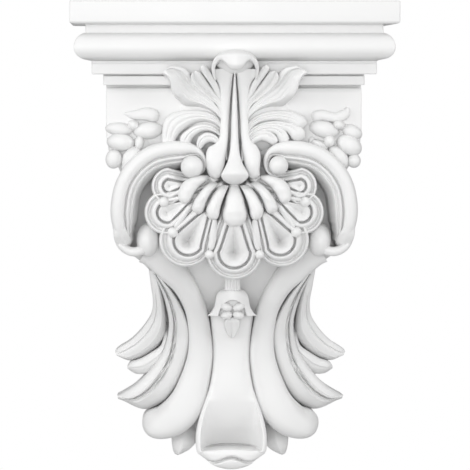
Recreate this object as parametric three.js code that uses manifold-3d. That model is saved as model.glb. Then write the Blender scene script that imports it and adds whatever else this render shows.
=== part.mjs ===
// A moulded wall corbel: a stepped cornice on a carved console, cast as one solid with a flat back.
// Millimetres, +Z up, the wall is the plane y = 0 and the carving faces -Y.
// The origin is the middle of the back face, where the corbel is fixed to the wall.
import * as THREE from "three";
import Module from "manifold-3d";
import { mergeVertices } from "three/addons/utils/BufferGeometryUtils.js";

const wasm = await Module();
wasm.setup();

// Driving dimensions
const height = 319;
const blockHalfWidth = 85.7; // the plain block under the cornice
const blockDepth = 121;

// Cornice mouldings from the top down: how far each stands out from the block, and how tall it is
const slabOverhang = 23.8;
const slabHeight = 15.3;
const neckOverhang = 13.3;
const neckHeight = 5.8;
const rollOverhang = 20.9;
const rollHeight = 19.3;
const stepOverhang = 9.5;
const stepHeight = 7.4;
const bandOverhang = 1.9;
const bandHeight = 6.7;

// The carving is drawn on a grid that is 1 mm wide at the sizes above and follows them when they change.
const GRID_HALF_WIDTH = 85.7;
const GRID_DEPTH = 121;
const GRID_HEIGHT = 264.6;
const GRID_FOOT = -163.9;

const corniceHeight = slabHeight + neckHeight + rollHeight + stepHeight + bandHeight;
const topZ = height / 2;
const footZ = -height / 2;
const gridX = blockHalfWidth / GRID_HALF_WIDTH;
const gridZ = (height - corniceHeight) / GRID_HEIGHT;
const gridD = blockDepth / GRID_DEPTH;

// A point of the carving grid in the corbel's frame: x across, z up, depth out from the wall.
function place(x, z, depth) {
  return new THREE.Vector3(x * gridX, -depth * gridD, footZ + (z - GRID_FOOT) * gridZ);
}

// Solids

// Turns closed three.js geometry into a manifold, with its faces pointing out.
function toManifold(geometry) {
  const bare = geometry.index ? geometry.toNonIndexed() : geometry.clone();
  bare.deleteAttribute("normal");
  bare.deleteAttribute("uv");
  const merged = mergeVertices(bare, 1e-4);
  const triVerts = new Uint32Array(merged.index.array);
  const build = () =>
    new wasm.Manifold(
      new wasm.Mesh({
        numProp: 3,
        vertProperties: merged.attributes.position.array,
        triVerts,
      }),
    );
  const made = build();
  if (made.volume() > 0) return made;
  for (let i = 0; i < triVerts.length; i += 3) {
    [triVerts[i + 1], triVerts[i + 2]] = [triVerts[i + 2], triVerts[i + 1]];
  }
  return build();
}

// Skins a row of closed rings, each with the same number of points, and closes both ends on their centres.
function loft(rings) {
  const sides = rings[0].length;
  const centreOf = (ring) =>
    ring.reduce((sum, p) => sum.add(p), new THREE.Vector3()).divideScalar(sides);
  const points = [...rings.flat(), centreOf(rings[0]), centreOf(rings[rings.length - 1])];
  const first = rings.length * sides;
  const index = [];
  for (let k = 0; k < sides; k++) {
    const next = (k + 1) % sides;
    for (let r = 0; r + 1 < rings.length; r++) {
      const [a, b] = [r * sides + k, r * sides + next];
      index.push(a, b, a + sides, b, b + sides, a + sides);
    }
    const end = (rings.length - 1) * sides;
    index.push(first, next, k, first + 1, end + k, end + next);
  }
  const geometry = new THREE.BufferGeometry().setFromPoints(points);
  geometry.setIndex(index);
  return toManifold(geometry);
}

const TENSION = 0.5;
const curveThrough = (points) => new THREE.CatmullRomCurve3(points, false, "catmullrom", TENSION);

// Reads the values of one column of a list of stations as a smooth function of t from 0 to 1.
function smooth(stations, column) {
  const curve = curveThrough(stations.map((station, i) => new THREE.Vector3(i, station[column], 0)));
  return (t) => curve.getPoint(t).y;
}

// The path of a list of stations in the face plane.
const pathOf = (stations) => curveThrough(stations.map(([x, z]) => new THREE.Vector3(x, 0, z)));

// Stations along a carved member: the ends are closer together, so that a round end stays round.
function spread(steps, roundStart, roundEnd) {
  const ease = (t) => {
    if (roundStart && roundEnd) return (1 - Math.cos(Math.PI * t)) / 2;
    if (roundEnd) return Math.sin((Math.PI * t) / 2);
    if (roundStart) return 1 - Math.cos((Math.PI * t) / 2);
    return t;
  };
  return Array.from({ length: steps + 1 }, (_, i) => ease(i / steps));
}

// The half circle across a carved member: how far its surface falls back at u from -1 to 1.
const dome = (u) => 1 - Math.sqrt(Math.max(0, 1 - u * u));
const ACROSS = [-1, -0.6, 0.1, 0.7, 1];
const NARROW = [-1, -0.45, 0.45, 1];

// A member carved along a path. Each station is [x, z, depth of its crown, half width].
// crown is how far its edges fall back, back the depth where it ends inside the body,
// round the length of each rounded end in half widths, and profile its section across.
function member(stations, { crown, back, round = [0, 0.9], steps = 6, profile = dome, across = ACROSS }) {
  const path = pathOf(stations);
  const depthAt = smooth(stations, 2);
  const halfAt = smooth(stations, 3);
  const length = path.getLength();
  const endFall = (distance, reach) =>
    reach > 0 && distance < reach ? Math.sqrt(Math.max(0, 1 - (1 - distance / reach) ** 2)) : 1;
  const rings = spread(steps, round[0] > 0, round[1] > 0).map((t) => {
    const here = path.getPoint(t);
    const along = path.getTangent(t);
    const side = new THREE.Vector3(along.z, 0, -along.x).normalize();
    const half = Math.max(0.05, halfAt(t));
    const share = Math.min(
      endFall(t * length, round[0] * half),
      endFall((1 - t) * length, round[1] * half),
    );
    const w = Math.max(0.04, half * share);
    const top = depthAt(t) - crown * (1 - share);
    const ring = across.map((u) => [u, top - crown * profile(u) * Math.max(share, 0.05)]);
    ring.push([across[across.length - 1], back], [across[0], back]);
    return ring.map(([u, d]) => place(here.x + side.x * u * w, here.z + side.z * u * w, d));
  });
  return loft(rings);
}

// A flattened ball: centre, half sizes across, up and out, and its turn in the face plane in degrees.
function ball(x, z, depth, halfX, halfZ, halfD, turn = 0, [rows, columns] = [4, 7]) {
  const sphere = new THREE.SphereGeometry(1, columns, rows);
  sphere.rotateX(Math.PI / 2);
  const spot = sphere.attributes.position;
  const [c, s] = [Math.cos(radians(turn)), Math.sin(radians(turn))];
  for (let i = 0; i < spot.count; i++) {
    const [a, b] = [spot.getX(i) * halfX, spot.getZ(i) * halfZ];
    const p = place(x + a * c - b * s, z + a * s + b * c, depth + spot.getY(i) * halfD);
    spot.setXYZ(i, p.x, p.y, p.z);
  }
  return toManifold(sphere);
}

const radians = THREE.MathUtils.degToRad;

// Mirrors a list of stations to the other side of the centre line.
const toSide = (side, stations) => stations.map(([x, z, ...rest]) => [x * side, z, ...rest]);

// Cornice

// Rectangles that grow and shrink down the moulding profile, with mitred corners and a flat back.
function cornice() {
  const rollTop = topZ - slabHeight - neckHeight;
  const rollFoot = rollTop - rollHeight;
  const stepFoot = rollFoot - stepHeight;
  const bulge = rollOverhang - stepOverhang;
  const steps = 5;
  const roll = Array.from({ length: steps + 1 }, (_, i) => {
    const angle = (Math.PI / 2) * (i / steps);
    return [stepOverhang + bulge * Math.cos(angle), rollTop - rollHeight * (0.35 + 0.65 * Math.sin(angle))];
  });
  const profile = [
    [slabOverhang, topZ],
    [slabOverhang, topZ - slabHeight],
    [neckOverhang, topZ - slabHeight],
    [neckOverhang, rollTop],
    [rollOverhang - 0.12 * rollHeight, rollTop],
    [rollOverhang, rollTop - 0.14 * rollHeight],
    ...roll,
    [stepOverhang, stepFoot],
    [bandOverhang, stepFoot],
    [bandOverhang, stepFoot - bandHeight],
  ];
  const rings = profile.map(([out, z]) => {
    const [x, y] = [blockHalfWidth + out, -blockDepth - out];
    return [
      new THREE.Vector3(-x, 0, z),
      new THREE.Vector3(-x, y, z),
      new THREE.Vector3(x, y, z),
      new THREE.Vector3(x, 0, z),
    ];
  });
  return loft(rings);
}

// Core of the console: [z, half width, depth, corner radius]
const CORE = [
  [106, 85.7, 121, 1],
  [64, 85.7, 121, 1],
  [54, 83, 119, 3],
  [46, 78, 112, 4],
  [38, 76, 106, 4],
  [27, 80, 105, 4],
  [14, 82, 104, 4],
  [4, 82, 103, 5],
  [-5, 78, 100, 8],
  [-12, 71, 96, 12],
  [-20, 61, 90, 14],
  [-30, 53, 82, 16],
  [-44, 45, 70, 18],
  [-60, 39, 58, 20],
  [-80, 36, 48, 22],
  [-105, 38, 42, 24],
  [-132, 38, 40, 24],
  [-151, 22, 40, 16],
  [-160, 12, 36, 10],
];
const CORNER_STEPS = 2;

// Rounded rectangles lofted from under the cornice down to the foot.
function core() {
  const rings = CORE.map(([z, half, depth, radius]) => {
    const corner = (sign) =>
      Array.from({ length: CORNER_STEPS + 1 }, (_, i) => {
        const angle = (Math.PI / 2) * (i / CORNER_STEPS);
        const turn = sign < 0 ? angle : Math.PI / 2 - angle;
        const x = half - radius + radius * Math.cos(turn);
        return place(sign * x, z, depth - radius + radius * Math.sin(turn));
      });
    return [place(-half, z, 0), ...corner(-1), ...corner(1), place(half, z, 0)];
  });
  return loft(rings);
}

// Great C-scrolls

// The outer edge of the scroll is three arcs: round the eye, over the shoulder, and in under the flank.
// Each is [centre x, centre z, radius across, radius up, first angle, last angle, points].
const SCROLL_ARCS = [
  [32, 50.4, 12, 12, 228, 100, 5],
  [40, 12, 42.6, 50.5, 84, 0, 6],
  [40, 12, 42.6, 32, -15, -48, 3],
];
// Along the edge, evenly spaced: depth of the crown and width of the band
const SCROLL_CROWN = [
  [130, 3],
  [135, 6.5],
  [138, 12],
  [138, 17.5],
  [136, 18],
  [131, 17],
  [120, 9],
];
// Across the band, from its outer edge in: [share of the width, fall from the crown]
const SCROLL_BAND = [
  [0, 5],
  [0.09, 1.4],
  [0.3, 0],
  [0.46, 5.5],
  [0.56, 3],
  [0.68, 5],
  [1, 26],
];
const SCROLL_BACK = 90;

function scroll(side) {
  const edge = SCROLL_ARCS.flatMap(([x, z, radiusX, radiusZ, from, to, points]) =>
    Array.from({ length: points }, (_, i) => {
      const angle = radians(THREE.MathUtils.lerp(from, to, i / (points - 1)));
      return [x + radiusX * Math.cos(angle), z + radiusZ * Math.sin(angle)];
    }),
  );
  const path = pathOf(edge);
  const depthAt = smooth(SCROLL_CROWN, 0);
  const widthAt = smooth(SCROLL_CROWN, 1);
  const steps = 18;
  const rings = Array.from({ length: steps + 1 }, (_, i) => {
    const t = i / steps;
    const here = path.getPoint(t);
    const along = path.getTangent(t);
    const [inX, inZ] = [along.z, -along.x];
    const width = widthAt(t);
    const relief = Math.min(1, width / 14);
    const ring = SCROLL_BAND.map(([share, fall]) => [share, depthAt(t) - fall * relief]);
    ring.push([1, SCROLL_BACK], [0, SCROLL_BACK]);
    return ring.map(([share, d]) =>
      place(side * (here.x + inX * share * width), here.z + inZ * share * width, d),
    );
  });
  return loft(rings);
}

// The eye of the scroll, and the turned-over end at its foot.
function scrollEnds(side) {
  const hook = [
    [76, -7, 119, 3],
    [71, -11, 119, 3.4],
    [64.5, -11.6, 120, 4.4],
    [59.5, -7, 122, 6.4],
    [58, 0, 122, 6.6],
    [58.6, 7, 118, 4.6],
  ];
  return [
    ball(side * 29.3, 46.6, 130, 7.4, 7.8, 10, 0, [6, 8]),
    ball(side * 73.4, -4, 122, 5.4, 5, 7),
    member(toSide(side, hook), { crown: 5, back: 76, round: [0.6, 1], steps: 6 }),
  ];
}

// Shell

const SHELL_HINGE = 50; // grid height of the point that the flutes fan from
const SHELL_CROWN = 143;
const SHELL_FALL = 0.0052; // how fast the shell's dome falls back from its hinge

const shellDepth = (x, z) => SHELL_CROWN - SHELL_FALL * (x * x + (z - 30) ** 2);

// One of the convex flutes: they start on a small ellipse round the hinge and end on a larger one.
function flute(index) {
  const side = Math.sign(index) || 1;
  const order = Math.abs(index);
  const from = radians(20 * order);
  const to = radians(15.5 * order);
  const half = [8.3, 5, 5.4, 7][order];
  const start = [22 * Math.sin(from), SHELL_HINGE - 16.5 * Math.cos(from)];
  const end = [48 * Math.sin(to), SHELL_HINGE - (order ? 42.5 : 45) * Math.cos(to)];
  const bend = 1.2 * order;
  const stations = [0, 0.35, 0.7, 1].map((t, i) => {
    const x = THREE.MathUtils.lerp(start[0], end[0], t) + bend * Math.sin(Math.PI * t);
    const z = THREE.MathUtils.lerp(start[1], end[1], t) + bend * Math.sin(Math.PI * t);
    const swell = [0.45, 0.72, 1, 0.9][i];
    return [side * x, z, shellDepth(x, z) + [1, 4, 5, 3][i], half * swell];
  });
  return member(stations, { crown: 6, back: 100, round: [0.5, 0.95], steps: 4 });
}

// The frill behind the flutes: [x, z, radius, turn of its root from straight up in degrees]
const FRILL = [
  [0, -11.3, 18.9, 0],
  [31.3, -5.3, 17.2, 32],
  [45.3, 14, 14.9, 62],
  [42.7, 32.7, 12.5, 80],
];
// From the outline in: [share of the radius, fall from the crown]
const FRILL_RIMS = [
  [0.96, 1.6],
  [0.8, 4.2],
  [0.68, 1.4],
  [0.53, 4.6],
  [0.2, 2.6],
];

function frill(order, side) {
  const [x, z, radius, turn] = FRILL[order];
  const root = radius * 2.3;
  const [c, s] = [Math.cos(radians(turn)), Math.sin(radians(turn))];
  const points = 12;
  const outline = (share, depthOf) =>
    Array.from({ length: points }, (_, i) => {
      const angle = (2 * Math.PI * i) / points;
      const across = radius * share * Math.sin(angle);
      const along = (Math.cos(angle) > 0 ? root : radius) * share * Math.cos(angle);
      const px = x + across * c - along * s;
      const pz = z + across * s + along * c;
      return place(side * px, pz, depthOf(px, pz));
    });
  const rings = [
    outline(1, () => 92),
    ...FRILL_RIMS.map(([share, fall]) => outline(share, (px, pz) => shellDepth(px, pz) - fall)),
  ];
  return loft(rings);
}

// Beads between the frill's lobes: [angle from straight down, distance from the centre of the ring]
const BEADS = [
  [19.4, 50],
  [53.3, 52],
  [77, 47.5],
];
const BEAD_CENTRE = 33.3;

function bead(order, side) {
  const [angle, reach] = BEADS[order];
  const x = reach * Math.sin(radians(angle));
  const z = BEAD_CENTRE - reach * Math.cos(radians(angle));
  return ball(side * x, z, shellDepth(x, z) - 1, 3.4, 3.4, 4.2);
}

function shell() {
  const parts = [-3, -2, -1, 0, 1, 2, 3].map(flute);
  parts.push(frill(0, 1));
  for (const side of [-1, 1]) {
    for (const order of [1, 2, 3]) parts.push(frill(order, side));
    for (const order of [0, 1, 2]) parts.push(bead(order, side));
  }
  return parts;
}

// Acanthus leaf over the shell

// The leaf's surface leans out from the block towards its tip.
const leafDepth = (z) => 125 + Math.max(0, z - 60) * 0.17 + Math.max(0, z - 92) * 0.35;

// Lobes that reach up: [x, z, lift over the leaf, half width] from the stalk out
const LEAF_LOBES = [
  [[7, 82, 3, 3], [19.3, 87, 3, 6], [30, 93.4, 3.5, 7.8], [37.6, 101, 5, 7.6], [44.6, 108.6, 6, 4]],
  [[7, 87.5, 3, 2], [15.3, 94, 4, 3.2], [22, 101, 4.5, 3.6], [26.5, 108, 4, 2.2]],
  [[7, 92, 3, 1.6], [12, 98.5, 4.5, 2.5], [16.8, 105.3, 5, 2.5], [20.5, 111, 4, 1.6]],
];
// Fingers that arch over and hang: where they leave the stalk, how far and high they arch,
// where their tips are, the lift of the tip and the largest half width
const LEAF_FINGERS = [
  { root: 78.5, arch: [51, 88], tip: [48.6, 64], lift: 5, half: 4.8 },
  { root: 75, arch: [45, 83], tip: [42.4, 60], lift: 5, half: 4.8 },
  { root: 71, arch: [37, 77.5], tip: [34.4, 58], lift: 5.5, half: 4.6 },
  { root: 66, arch: [25, 71.5], tip: [22.6, 57], lift: 6.5, half: 4 },
  { root: 62.6, arch: [15, 60], tip: [12, 38], lift: 12, half: 6.4 },
];
const STALK_EDGE = 7;
const STALK = [
  [0, 40, 132, 7],
  [0, 60, 133, 8.6],
  [0, 84, 134, 9.4],
  [0, 100, 139, 10.6],
  [0, 110, 145, 13],
];
// The spear up the middle of the leaf, from its point down to its flared foot
const RIB = [
  [0, 109, 140, 0.6],
  [0, 90, 138.6, 2.6],
  [0, 66, 139, 3.3],
  [0, 53, 142, 4.4],
  [0, 44, 146, 8],
  [0, 35.5, 146, 9.8],
];

// A finger bends like a parabola and is widest two thirds of the way out.
function fingerStations({ root, arch, tip, lift, half }) {
  const bend = new THREE.QuadraticBezierCurve(
    new THREE.Vector2(STALK_EDGE, root),
    new THREE.Vector2(...arch),
    new THREE.Vector2(...tip),
  );
  return [0, 0.25, 0.5, 0.75, 1].map((t) => {
    const { x, y: z } = bend.getPoint(t);
    return [x, z, 3 + (lift - 3) * t, half * (0.5 + 0.75 * t - 0.3 * t * t)];
  });
}

function leaf() {
  const parts = [];
  for (const side of [-1, 1]) {
    for (const stations of [...LEAF_LOBES, ...LEAF_FINGERS.map(fingerStations)]) {
      const raised = stations.map(([x, z, lift, half]) => [side * x, z, leafDepth(z) + lift, half]);
      parts.push(member(raised, { crown: 4.4, back: 98, round: [0, 0.95], steps: 4, across: NARROW }));
    }
  }
  parts.push(member(STALK, { crown: 5, back: 100, round: [0, 0], steps: 6 }));
  parts.push(member(RIB, { crown: 4.5, back: 100, round: [0, 0.35], steps: 6 }));
  return [...parts, ...hood()];
}

// The tip of the leaf, curled forward over the cornice.
function hood() {
  const arch = [
    [-15.6, 104, 141, 2],
    [-15.2, 110.6, 148, 2.6],
    [-9.6, 116, 154, 3.2],
    [0, 117.6, 156, 3.4],
    [9.6, 116, 154, 3.2],
    [15.2, 110.6, 148, 2.6],
    [15.6, 104, 141, 2],
  ];
  return [
    member(arch, { crown: 4, back: 118, round: [0.8, 0.8], steps: 8 }),
    ball(0, 110, 140, 13.6, 9, 8, 0, [5, 8]),
    ball(0, 113.4, 147, 9.4, 6.6, 9.6, 0, [5, 8]),
  ];
}

// Flower on each corner of the block: petals as [x, z, half x, half z, half depth, turn]
const PETALS = [
  [56, 69.4, 8.9, 5.4, 6.5, -10],
  [75.6, 62, 9.6, 6.2, 6.5, 6],
  [77.6, 71.2, 8, 4.4, 5, 4],
  [81, 51, 4.6, 6, 5.5, 0],
  [68, 73, 3.2, 3.2, 6.5, 0],
  [64, 61.4, 3, 4.4, 6.5, 8],
];

function flower(side) {
  const parts = PETALS.map(([x, z, halfX, halfZ, halfD, turn]) =>
    ball(side * x, z, 121, halfX, halfZ, halfD, -side * turn),
  );
  const blades = [
    [[72.6, 79.6, 123, 1.4], [64, 79.6, 125, 3.4], [55, 78.4, 125, 4.2], [49, 74, 124, 3]],
    [[63.4, 58.4, 124, 2.4], [68, 54, 125, 4.4], [73, 48, 123, 4.2], [76, 43, 120, 0.8]],
  ];
  for (const stations of blades) {
    const shape = { crown: 3.4, back: 100, round: [0.5, 0.9], steps: 4, across: NARROW };
    parts.push(member(toSide(side, stations), shape));
  }
  return parts;
}

// Lower console: straps, acanthus blades and tongue

const STRAP = [
  [52, -12, 106, 12],
  [41, -24.5, 98, 9.8],
  [28, -44, 81, 7.8],
  [21.8, -70, 65, 7.9],
  [22, -90, 60, 9.4],
  [31, -117.6, 57, 12.2],
  [42, -130, 54, 12.3],
  [62.5, -131, 44, 10.4],
];
// Acanthus blades behind the strap, from the upper one down
const BLADES = [
  [
    [55.7, -28, 76, 2],
    [51, -46, 54, 3.8],
    [52.6, -63, 38, 7.4],
    [62, -76, 28, 8.2],
    [73, -82, 21, 5.4],
    [82, -81.6, 15, 1.2],
  ],
  [
    [47, -76, 36, 3],
    [53.4, -86, 31, 4],
    [63.5, -93.7, 24, 4.4],
    [73.4, -95.6, 15, 1.6],
  ],
  [
    [51, -28, 86, 2],
    [40.8, -45.5, 70, 3.8],
    [36.8, -68, 54, 7],
    [41.7, -90.7, 44, 10],
    [55.2, -109.7, 36, 10.6],
    [70, -116, 28, 6.4],
    [80.7, -114.7, 20, 1.2],
  ],
];
const TIP = [
  [25, -134, 40, 7],
  [31, -143, 37, 7.6],
  [36.5, -150, 32, 6.4],
  [40, -156.5, 24, 2],
];
// A blade has a ridge near its upper edge and hollows out below it.
const bladeProfile = (u) => dome(u) + 0.3 * Math.max(0, Math.cos(1.7 * Math.PI * (u + 0.15)));
const BLADE_ACROSS = [-1, -0.6, 0.1, 0.6, 1];

function lowerSide(side) {
  const parts = BLADES.map((stations) =>
    member(toSide(side, stations), {
      crown: 7,
      back: 0,
      round: [0, 0.8],
      steps: 8,
      profile: bladeProfile,
      across: BLADE_ACROSS,
    }),
  );
  parts.push(member(toSide(side, STRAP), { crown: 8, back: 0, round: [0, 1], steps: 11 }));
  parts.push(member(toSide(side, TIP), { crown: 4, back: 0, round: [0, 0.8], steps: 5 }));
  return parts;
}

// Tongue down the middle, ending in a dished foot: [z, half width, depth, fall of the dish]
const TONGUE = [
  [-52, 15.4, 76, 0],
  [-73, 13.8, 65, 0],
  [-91, 13.2, 59, 0],
  [-112, 17, 57, 0.6],
  [-131, 23, 58, 5],
  [-145, 25, 61, 8.4],
  [-153, 22.2, 65, 2],
  [-160, 14.6, 63, 2],
  [-163.9, 3, 57, 2],
];
const TONGUE_ACROSS = [-1, -0.9, -0.5, 0, 0.5, 0.9, 1];

function tongue() {
  const column = [0, 1, 2, 3].map((c) => smooth(TONGUE, c));
  const steps = 12;
  const rings = Array.from({ length: steps + 1 }, (_, i) => {
    const [z, half, depth, dish] = column.map((value) => value(i / steps));
    const ring = TONGUE_ACROSS.map((u) => {
      const hollow = dish * Math.cos((Math.PI / 2) * Math.min(1, Math.abs(u) / 0.92));
      const shoulder = Math.abs(u) === 1 ? 5 : 2.6 * u * u * (dish > 1 ? 0.3 : 1);
      return place(u * half, Math.max(z, GRID_FOOT), depth - hollow - shoulder);
    });
    return [...ring, place(half, Math.max(z, GRID_FOOT), 0), place(-half, Math.max(z, GRID_FOOT), 0)];
  });
  return loft(rings);
}

// Pendant under the shell: a short stem, a bell-shaped cap and a hanging bud.
const STEM = [
  [0, -26, 100, 5.2],
  [0, -40, 88, 5.2],
];
const CAP = [
  [0, -34, 90, 7],
  [0, -39, 88, 9.4],
  [0, -50, 80, 12.8],
  [0, -55, 77, 16],
];
const BUD = [
  [0, -54, 79, 3],
  [0, -60, 75, 4.8],
  [0, -66, 71, 4],
  [0, -71, 68, 1],
];

function pendant() {
  return [
    member(STEM, { crown: 2, back: 60, round: [0, 0], steps: 2 }),
    member(CAP, { crown: 4, back: 50, round: [0.7, 0], steps: 4 }),
    member(BUD, { crown: 2.4, back: 50, round: [0, 0.8], steps: 5 }),
  ];
}

// The whole corbel, joined as the one casting that it is

const pieces = [cornice(), core(), tongue(), ...shell(), ...leaf(), ...pendant()];
for (const side of [-1, 1]) {
  pieces.push(scroll(side), ...scrollEnds(side), ...flower(side), ...lowerSide(side));
}
const JOIN_TOLERANCE = 0.3;
const joined = wasm.Manifold.union(pieces).simplify(JOIN_TOLERANCE);

// Sorts the triangles into connected shells and keeps the outer one: pockets that the
// overlapping members seal off inside the casting are filled.
function outerShell(mesh) {
  const { vertProperties: xyz, triVerts } = mesh;
  const parent = Int32Array.from({ length: xyz.length / 3 }, (_, i) => i);
  const root = (i) => {
    let top = i;
    while (parent[top] !== top) top = parent[top];
    parent[i] = top;
    return top;
  };
  for (let i = 0; i < triVerts.length; i += 3) {
    const a = root(triVerts[i]);
    parent[root(triVerts[i + 1])] = a;
    parent[root(triVerts[i + 2])] = a;
  }
  const shells = new Map();
  const at = (i) => new THREE.Vector3().fromArray(xyz, i * 3);
  for (let i = 0; i < triVerts.length; i += 3) {
    const key = root(triVerts[i]);
    const shell = shells.get(key) ?? { volume: 0, index: [] };
    const [a, b, c] = [triVerts[i], triVerts[i + 1], triVerts[i + 2]];
    shell.volume += at(a).dot(at(b).cross(at(c))) / 6;
    shell.index.push(a, b, c);
    shells.set(key, shell);
  }
  return [...shells.values()].sort((a, b) => b.volume - a.volume)[0].index;
}

const result = joined.getMesh();
const casting = new THREE.BufferGeometry();
casting.setAttribute("position", new THREE.Float32BufferAttribute(result.vertProperties, 3));
casting.setIndex(outerShell(result));
const geometry = mergeVertices(casting.toNonIndexed(), 1e-5);
geometry.computeVertexNormals();

const plaster = new THREE.MeshStandardMaterial({ color: 0xf2f1ee, roughness: 0.6, metalness: 0 });
const corbel = new THREE.Mesh(geometry, plaster);
corbel.name = "corbel";

const group = new THREE.Group();
group.add(corbel);
export default group;
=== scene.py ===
"""Looks of a white moulded wall corbel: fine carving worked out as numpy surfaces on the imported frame."""

import logging
import math
from dataclasses import dataclass, field
from enum import Enum
from typing import Any, Callable, Sequence

import bpy
import numpy as np
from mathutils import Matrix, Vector


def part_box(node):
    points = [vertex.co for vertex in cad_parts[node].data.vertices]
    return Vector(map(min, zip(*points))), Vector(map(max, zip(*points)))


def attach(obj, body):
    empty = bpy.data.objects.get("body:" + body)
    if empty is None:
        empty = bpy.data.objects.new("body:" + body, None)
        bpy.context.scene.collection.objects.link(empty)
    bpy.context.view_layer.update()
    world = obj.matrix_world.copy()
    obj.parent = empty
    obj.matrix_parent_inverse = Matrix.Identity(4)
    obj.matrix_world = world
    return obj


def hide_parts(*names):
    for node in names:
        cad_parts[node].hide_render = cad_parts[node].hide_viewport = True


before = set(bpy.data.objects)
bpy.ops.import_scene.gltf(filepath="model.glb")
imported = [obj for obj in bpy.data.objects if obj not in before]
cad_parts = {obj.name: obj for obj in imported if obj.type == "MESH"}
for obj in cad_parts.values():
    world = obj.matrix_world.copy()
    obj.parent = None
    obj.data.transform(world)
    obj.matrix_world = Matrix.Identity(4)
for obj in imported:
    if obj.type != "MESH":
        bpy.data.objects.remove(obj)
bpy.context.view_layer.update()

Array = np.ndarray
Section = Callable[[Array, Array], Array]
Knots = Sequence[Sequence[float]]

NODE = "corbel"
SLOT = "primed_polyurethane"
BODY = "root"

log = logging.getLogger("corbel")


class Side(Enum):
    """The two halves of the carving, with the sign of x on each."""

    LEFT = -1
    RIGHT = 1


# Frame


@dataclass(frozen=True)
class CarvingGrid:
    """The carving's own grid in millimetres: x across, z up, depth out from the wall.

    It is stretched over the node's box, so that it follows the solid's size. The carving has a
    draft: behind its front plane it draws in towards the centre line and a little downwards.
    """

    half_width: float = 109.5
    depth: float = 156.13
    foot: float = -163.9
    height: float = 319.0
    front: float = 145.0
    draw_in: float = 2.5e-4
    draw_down: float = 0.037

    def drafted(self, points: Array) -> Array:
        """Draws points in and down by their distance behind the front plane."""
        x, z, depth = points.T
        behind = self.front - depth
        share = 1 - self.draw_in * behind
        lowered = z * share - self.draw_down * behind
        return np.stack([x * share, np.maximum(lowered, self.foot), depth], axis=1)

    def world(self, points: Array) -> Array:
        """Places grid points in the frame.

        Args:
            points: rows of x, z and depth.

        Returns:
            Rows of x, y and z in metres.
        """
        low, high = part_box(NODE)
        across = high[0] / self.half_width
        out = low[1] / self.depth
        up = (high[2] - low[2]) / self.height
        x, z, depth = points.T
        return np.stack([x * across, depth * out, low[2] + (z - self.foot) * up], axis=1)


# Curves and surfaces


def spline(knots: Knots, steps: int) -> Array:
    """Runs a smooth curve through knots.

    Each span is the cubic whose slope at a knot is half the step between that knot's neighbours.

    Args:
        knots: rows of any number of values.
        steps: how many points to return, evenly spaced in knot index.

    Returns:
        One row for each step.
    """
    rows = np.asarray(knots, float)
    padded = np.vstack([2 * rows[0] - rows[1], rows, 2 * rows[-1] - rows[-2]])
    place = np.linspace(0, len(rows) - 1, steps)
    index = np.minimum(place.astype(int), len(rows) - 2)
    f = (place - index)[:, None]
    before, start, end, after = (padded[index + i] for i in range(4))
    return 0.5 * (
        2 * start
        + (end - before) * f
        + (2 * before - 5 * start + 4 * end - after) * f**2
        + (3 * start - before - 3 * end + after) * f**3
    )


def along_curve(knots: Knots, shares: Array) -> Array:
    """Reads a smooth curve at shares of its length in the face plane.

    Args:
        knots: rows that start with x and z.
        shares: values from 0 to 1.

    Returns:
        One row for each share.
    """
    dense = spline(knots, 60 * len(knots))
    gaps = np.hypot(np.diff(dense[:, 0]), np.diff(dense[:, 1]))
    walked = np.concatenate([[0.0], np.cumsum(gaps)])
    spots = shares * walked[-1]
    return np.stack([np.interp(spots, walked, column) for column in dense.T], axis=1)


def smooth_step(low: float, high: float, value: Array) -> Array:
    """Rises from 0 at low to 1 at high with level ends."""
    share = np.clip((value - low) / (high - low), 0, 1)
    return share * share * (3 - 2 * share)


def across_share(count: int) -> Array:
    """Places from -1 to 1 across a member, closer together at the edges."""
    return np.sin(np.linspace(-math.pi / 2, math.pi / 2, count))


def rounded_edge(u: Array, fall: float, power: float) -> Array:
    """A level face that rounds down at both edges: fall times 1 less the root of 1 less |u| to the power."""
    return fall * (1 - np.sqrt(1 - np.minimum(np.abs(u), 1) ** power))


def pillow(crown: float | Array, power: float = 2.0) -> Section:
    """Section that falls by crown at its edges: a half circle at power 2, flatter on top above it."""
    return lambda u, t: crown * (1 - (1 - np.minimum(np.abs(u), 1) ** power) ** (1 / power))


def notch(u: Array, centre: float | Array, width: float, depth: float | Array) -> Array:
    """A round-bottomed cut: depth times the bell curve of the distance from centre over width."""
    return depth * np.exp(-(((u - centre) / width) ** 2))


@dataclass
class Relief:
    """One closed surface of the carving: points in the carving grid, and faces as rows of indices."""

    points: Array
    faces: list[list[int]]

    def mirrored(self, side: Side) -> "Relief":
        """Moves the surface to the given side of the centre line."""
        return Relief(self.points * np.array([side.value, 1, 1]), self.faces)


def skin(rings: Array) -> Relief:
    """Skins a row of closed rings and closes both ends on their centres.

    Args:
        rings: array of rings, points in a ring, and 3 values.

    Returns:
        The closed surface.
    """
    count, sides, _ = rings.shape
    here = np.arange(count * sides).reshape(count, sides)
    ahead = np.roll(here, -1, axis=1)
    quads = np.stack([here[:-1], ahead[:-1], ahead[1:], here[1:]], axis=-1).reshape(-1, 4)
    points = rings.reshape(-1, 3)
    ends = np.stack([rings[0].mean(axis=0), rings[-1].mean(axis=0)])
    first = len(points)
    faces = quads.tolist()
    faces += np.stack([np.full(sides, first), ahead[0], here[0]], axis=-1).tolist()
    faces += np.stack([np.full(sides, first + 1), here[-1], ahead[-1]], axis=-1).tolist()
    return Relief(np.vstack([points, ends]), faces)


def backed(front: Array, back: float) -> Relief:
    """Closes rows of front points with a flat rear.

    Args:
        front: array of rows, points across, and 3 values.
        back: depth of the rear.

    Returns:
        The closed surface.
    """
    rear = front[:, [-1, 0]].copy()
    rear[..., 2] = back
    return skin(np.concatenate([front, rear], axis=1))


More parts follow.
